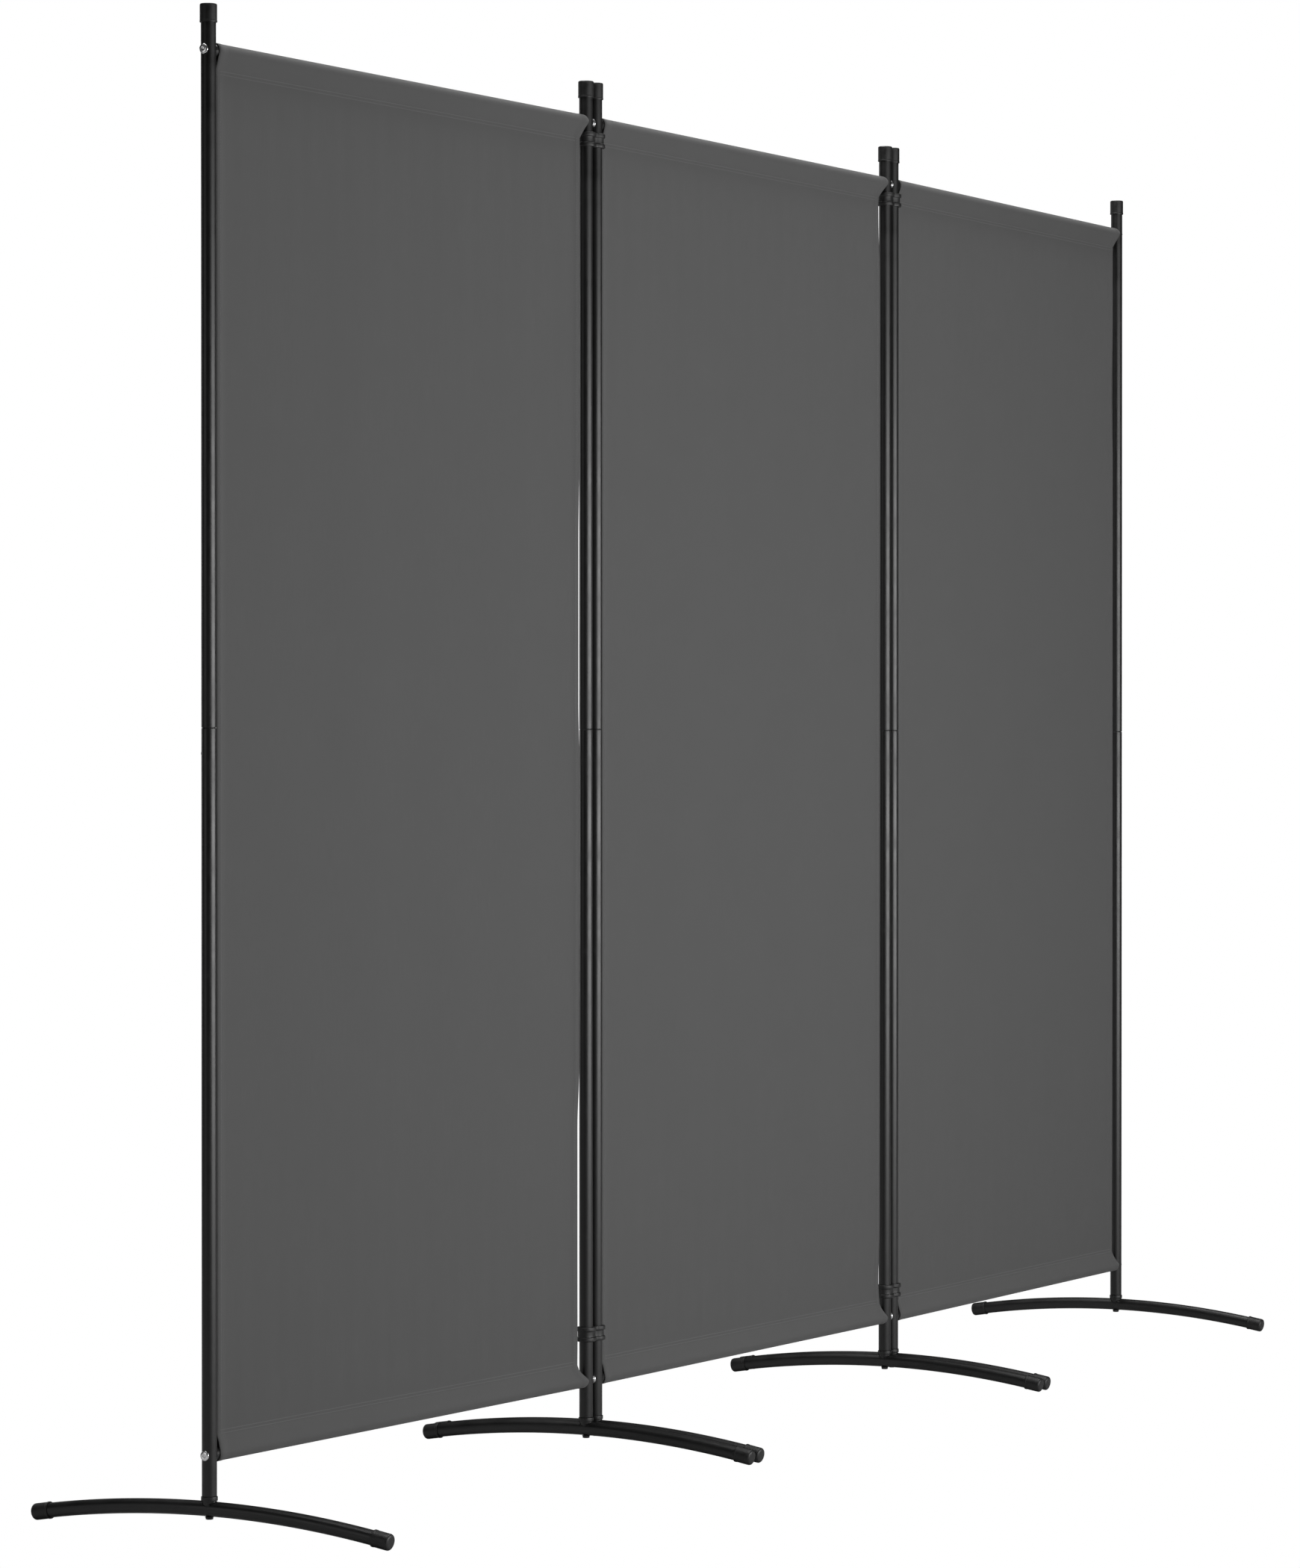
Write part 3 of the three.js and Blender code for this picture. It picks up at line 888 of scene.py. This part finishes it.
def bore_rings(bm, x, half):
    """The chamfered wall of a clip's bore, from its bottom to its top."""
    chamfer = 0.5 * MM
    profile = [
        (CLEAR_RADIUS + chamfer, -half),
        (CLEAR_RADIUS, chamfer - half),
        (CLEAR_RADIUS, half - chamfer),
        (CLEAR_RADIUS + chamfer, half),
    ]
    rings = []
    for radius, z in profile:
        ring = []
        for angle in circle_angles(SIDES):
            ring.append(bm.verts.new((x + radius * math.cos(angle), radius * math.sin(angle), z)))
        rings.append(ring)
    for first, second in zip(rings, rings[1:]):
        join_rings(bm, first, second)
    return rings


def clip_mesh(half_distance, height):
    """Two joined rings with a rounded rim at each end and a groove between the rims."""
    bm = bmesh.new()
    half = height / 2
    waist = half - CLIP_RIM_HEIGHT
    corners = [
        (2 * CLIP_ROUNDING, -half, 0),
        (0, -half, CLIP_ROUNDING),
        (0, -waist, 1.2 * MM),
        (CLIP_GROOVE_DEPTH, -waist, 0.8 * MM),
        (CLIP_GROOVE_DEPTH, waist, 0.8 * MM),
        (0, waist, 1.2 * MM),
        (0, half, CLIP_ROUNDING),
        (2 * CLIP_ROUNDING, half, 0),
    ]
    walls = []
    for inset, z in rounded(corners):
        walls.append([bm.verts.new((x, y, z)) for x, y in clip_outline(half_distance, inset)])
    for first, second in zip(walls, walls[1:]):
        join_rings(bm, first, second)
    bores = [bore_rings(bm, x, half) for x in (-half_distance, half_distance)]
    for end in (0, -1):
        edges = []
        for ring in (walls[end], *(bore[end] for bore in bores)):
            for first, second in zip(ring, ring[1:] + ring[:1]):
                edges.append(bm.edges.get((first, second)))
        bmesh.ops.triangle_fill(bm, edges=edges, use_beauty=True)
    return finished(bm, "hinge_clip")


def build_clips(hinge, body, first, second):
    """A hinge's two clips, round the poles at the two axes."""
    middle = (first + second) / 2
    half_distance = (second - first).xy.length / 2
    angle = direction(first, second)
    for level in ("bottom", "top"):
        node = f"{hinge}_{level}_clip"
        low, high = z_range(node)
        place = at(middle, angle, (low + high) / 2)
        mesh = clip_mesh(half_distance, high - low)
        add_piece(f"{hinge}_{level}_ring_clip", mesh, PLASTIC, place, body, node)


# ---------------------------------------------------------------- feet

ARC_RADIUS = ((FOOT_LENGTH / 2) ** 2 + FOOT_RISE**2) / (2 * FOOT_RISE)
TIP_ANGLE = math.asin((FOOT_LENGTH / 2) / (ARC_RADIUS + FOOT_CAP_RADIUS))
TIP_HEIGHT = FOOT_CAP_RADIUS * math.cos(TIP_ANGLE) - SOLE_DEPTH
FOOT_TOP = TIP_HEIGHT + ARC_RADIUS * (1 - math.cos(TIP_ANGLE))  # of the tube's centre line
TIP = TIP_ANGLE * ARC_RADIUS  # along the arc, from its middle


def bend(bm):
    """Bends what stands along Z onto the foot's arc, and flattens what would go below the floor."""
    for vertex in bm.verts:
        x, out, along = vertex.co
        angle = along / ARC_RADIUS
        reach = ARC_RADIUS + out
        z = FOOT_TOP - ARC_RADIUS + reach * math.cos(angle)
        vertex.co = (x, reach * math.sin(angle), max(z, 0.0))


def add_foot_tube(bm):
    end = TIP - CAP_WALL - 0.3 * MM  # just short of its caps' ends
    stations = [-end + 2 * end * step / FOOT_STEPS for step in range(FOOT_STEPS + 1)]
    outside = [(TUBE_RADIUS, station) for station in stations]
    inside = [(FOOT_BORE, station) for station in reversed(stations)]
    turn_profile(bm, outside + inside, loop=True)
    bend(bm)


def add_seat(bm, seat_top):
    """The round seat that the pole stands on, and its neck, which stands on the tube."""
    underside = seat_top - SEAT_HEIGHT
    corners = [
        (0, FOOT_TOP, 0),
        (NECK_RADIUS, FOOT_TOP, 0),
        (NECK_RADIUS, underside, 0.4 * MM),
        (SEAT_RADIUS, underside, SEAT_ROUNDING),
        (SEAT_RADIUS, seat_top, SEAT_ROUNDING),
        (0, seat_top, 0),
    ]
    turn_profile(bm, rounded(corners))


def add_weld(bm):
    """An uneven bead where the neck meets the tube."""
    rings = []
    for angle in circle_angles(SIDES):
        x, y = NECK_RADIUS * math.cos(angle), NECK_RADIUS * math.sin(angle)
        middle = Vector((x, y, FOOT_TOP + math.sqrt(TUBE_RADIUS**2 - x**2)))
        radius = WELD_RADIUS * (1 + WELD_UNEVENNESS * math.sin(WELD_BEADS * angle))
        ring = []
        for turn in circle_angles(WELD_SIDES):
            out, up = radius * math.cos(turn), radius * math.sin(turn)
            offset = Vector((out * math.cos(angle), out * math.sin(angle), up))
            ring.append(bm.verts.new(middle + offset))
        rings.append(ring)
    for first, second in zip(rings, rings[1:] + rings[:1]):
        join_rings(bm, first, second)


def foot_mesh(seat_top):
    bm = bmesh.new()
    add_foot_tube(bm)
    add_seat(bm, seat_top)
    add_weld(bm)
    return finished(bm, "foot")


def foot_cap_mesh():
    """The back end's cap: a cup with a rounded end and a flat sole."""
    mouth = TIP - FOOT_CAP_LENGTH
    rim = mouth + FOOT_CAP_RIM_LENGTH
    corners = [
        (0, TIP, 0),
        (FOOT_CAP_BODY_RADIUS, TIP, FOOT_CAP_ROUNDING),
        (FOOT_CAP_BODY_RADIUS, rim, 0.3 * MM),
        (FOOT_CAP_RADIUS, rim - 0.6 * MM, 0.3 * MM),
        (FOOT_CAP_RADIUS, mouth, 0.8 * MM),
        (CLEAR_RADIUS, mouth, 0.2 * MM),
        (CLEAR_RADIUS, TIP - CAP_WALL, 0),
        (0, TIP - CAP_WALL, 0),
    ]
    bm = bmesh.new()
    turn_profile(bm, rounded(corners, steps=7))
    bend(bm)
    return finished(bm, "foot_cap")


def foot_bolt_mesh():
    """A hexagon head with a washer face, under the foot, and its shank up into the pole."""
    head_top = FOOT_TOP - TUBE_RADIUS - 0.3 * MM
    face = head_top - BOLT_HEAD_HEIGHT
    corners = [
        (0, face, 0),
        (BOLT_HEAD_RADIUS, face, 0.5 * MM),
        (BOLT_HEAD_RADIUS, head_top - BOLT_FLANGE, 0),
        (BOLT_HEAD_RADIUS + BOLT_FLANGE, head_top - BOLT_FLANGE, 0.2 * MM),
        (BOLT_HEAD_RADIUS + BOLT_FLANGE, head_top, 0.2 * MM),
        (SCREW_RADIUS, head_top, 0),
        (SCREW_RADIUS, head_top + BOLT_LENGTH, 0.6 * MM),
        (0, head_top + BOLT_LENGTH, 0),
    ]
    profile = rounded(corners)
    widest = BOLT_HEAD_RADIUS + BOLT_FLANGE / 2
    hexagon = [row for row, point in enumerate(profile) if SCREW_RADIUS < point.x < widest]
    return turned("foot_bolt", profile, six_sided=hexagon)


def build_foot(name, body, axis):
    """The arched foot under a pole, with its caps and bolt, turned as the CAD has it."""
    back = node_middle(name + "_foot_back_cap")
    front = node_middle(name + "_foot_front_cap")
    angle = direction(front, back) - math.pi / 2
    place = at(axis, angle)
    seat_top = z_range(name + "_foot")[1]
    add_piece(name + "_foot_tube", foot_mesh(seat_top), STEEL, place, body, name + "_foot")
    for end, turn in (("back", 0), ("front", math.pi)):
        end_place = place @ Matrix.Rotation(turn, 4, "Z")
        cap = f"{name}_foot_{end}_cap"
        add_piece(f"{name}_foot_{end}_end", foot_cap_mesh(), PLASTIC, end_place, body, cap)
    add_piece(name + "_foot_screw", foot_bolt_mesh(), STEEL, place, body, name + "_foot_bolt")


# ---------------------------------------------------------------- the whole screen

pole_axes = {}
for panel, body in PANELS.items():
    ends = {side: node_middle(f"{panel}_{side}_pole_lower") for side in ("left", "right")}
    panel_angle = direction(ends["left"], ends["right"])
    for side in ends:
        faces_left = panel == "right_panel" and side == "left"
        screw_side = math.pi if faces_left else math.pi / 2
        pole_axes[f"{panel}_{side}"] = build_pole(f"{panel}_{side}", body, panel_angle, screw_side)
    span, centre, bar_heights = build_bars(panel, body, ends, panel_angle)
    build_cloth(panel, body, span, centre, bar_heights, panel_angle, RIGHT_GAPS[panel], PHASES[panel])

build_clips("left_hinge", "hinge_left", pole_axes["left_panel_right"], pole_axes["centre_panel_left"])
build_clips("right_hinge", "hinge_right", pole_axes["centre_panel_right"], pole_axes["right_panel_left"])

for pole, body in FOOT_BODIES.items():
    build_foot(pole, body, pole_axes[pole])


# ---------------------------------------------------------------- stage, lights and camera


def show_camera(tree, seen, other, output):
    """Shows one shader to the camera and the other to the light that falls on it."""
    mix = tree.nodes.new("ShaderNodeMixShader")
    rays = tree.nodes.new("ShaderNodeLightPath")
    tree.links.new(rays.outputs["Is Camera Ray"], mix.inputs[0])
    tree.links.new(other.outputs[0], mix.inputs[1])
    tree.links.new(seen.outputs[0], mix.inputs[2])
    tree.links.new(mix.outputs[0], output.inputs["Surface"])


def floor_material():
    """A pale floor, seen as bright as the backdrop, that throws little light back up."""
    made = material("pale_floor", grey(0.5), Roughness=0.9, Specular_IOR_Level=0.1)
    nodes = made.node_tree.nodes
    glow = nodes.new("ShaderNodeEmission")
    show_camera(made.node_tree, glow, nodes["Principled BSDF"], nodes["Material Output"])
    return made


def build_floor():
    bm = bmesh.new()
    bmesh.ops.create_grid(bm, x_segments=1, y_segments=1, size=FLOOR_SIZE)
    mesh = bpy.data.meshes.new("floor")
    bm.to_mesh(mesh)
    bm.free()
    floor = bpy.data.objects.new("floor", mesh)
    bpy.context.scene.collection.objects.link(floor)
    mesh.materials.append(floor_material())


def area_light(name, place, target, size, power):
    data = bpy.data.lights.new(name, "AREA")
    data.shape = "RECTANGLE"
    data.size, data.size_y = size
    data.energy = power
    lamp = bpy.data.objects.new(name, data)
    bpy.context.scene.collection.objects.link(lamp)
    lamp.location = place
    lamp.rotation_euler = (Vector(target) - Vector(place)).to_track_quat("-Z", "Y").to_euler()


def build_world():
    """White behind the object, and a dim grey for what it lights and mirrors."""
    world = bpy.data.worlds.new("studio")
    world.use_nodes = True
    nodes = world.node_tree.nodes
    nodes["Background"].inputs["Color"].default_value = grey(AMBIENT_LEVEL)
    backdrop = nodes.new("ShaderNodeBackground")
    backdrop.inputs["Color"].default_value = grey(BACKDROP_LEVEL)
    show_camera(world.node_tree, backdrop, nodes["Background"], nodes["World Output"])
    bpy.context.scene.world = world


def build_camera():
    """The photograph's viewpoint: low, in front of the left end, looking along the screen."""
    middle = (pole_axes["centre_panel_left"] + pole_axes["centre_panel_right"]) / 2
    data = bpy.data.cameras.new("camera")
    data.lens = CAMERA_LENS
    data.sensor_width = CAMERA_SENSOR
    camera = bpy.data.objects.new("camera", data)
    bpy.context.scene.collection.objects.link(camera)
    camera.location = (*(middle.xy + CAMERA_OFFSET), CAMERA_HEIGHT)
    camera.rotation_euler = (math.pi / 2 + CAMERA_PITCH, 0, CAMERA_YAW - math.pi / 2)
    bpy.context.scene.camera = camera


build_floor()
build_world()
for light in LIGHTS:
    area_light(*light)
build_camera()
bpy.context.scene.view_settings.view_transform = "Standard"
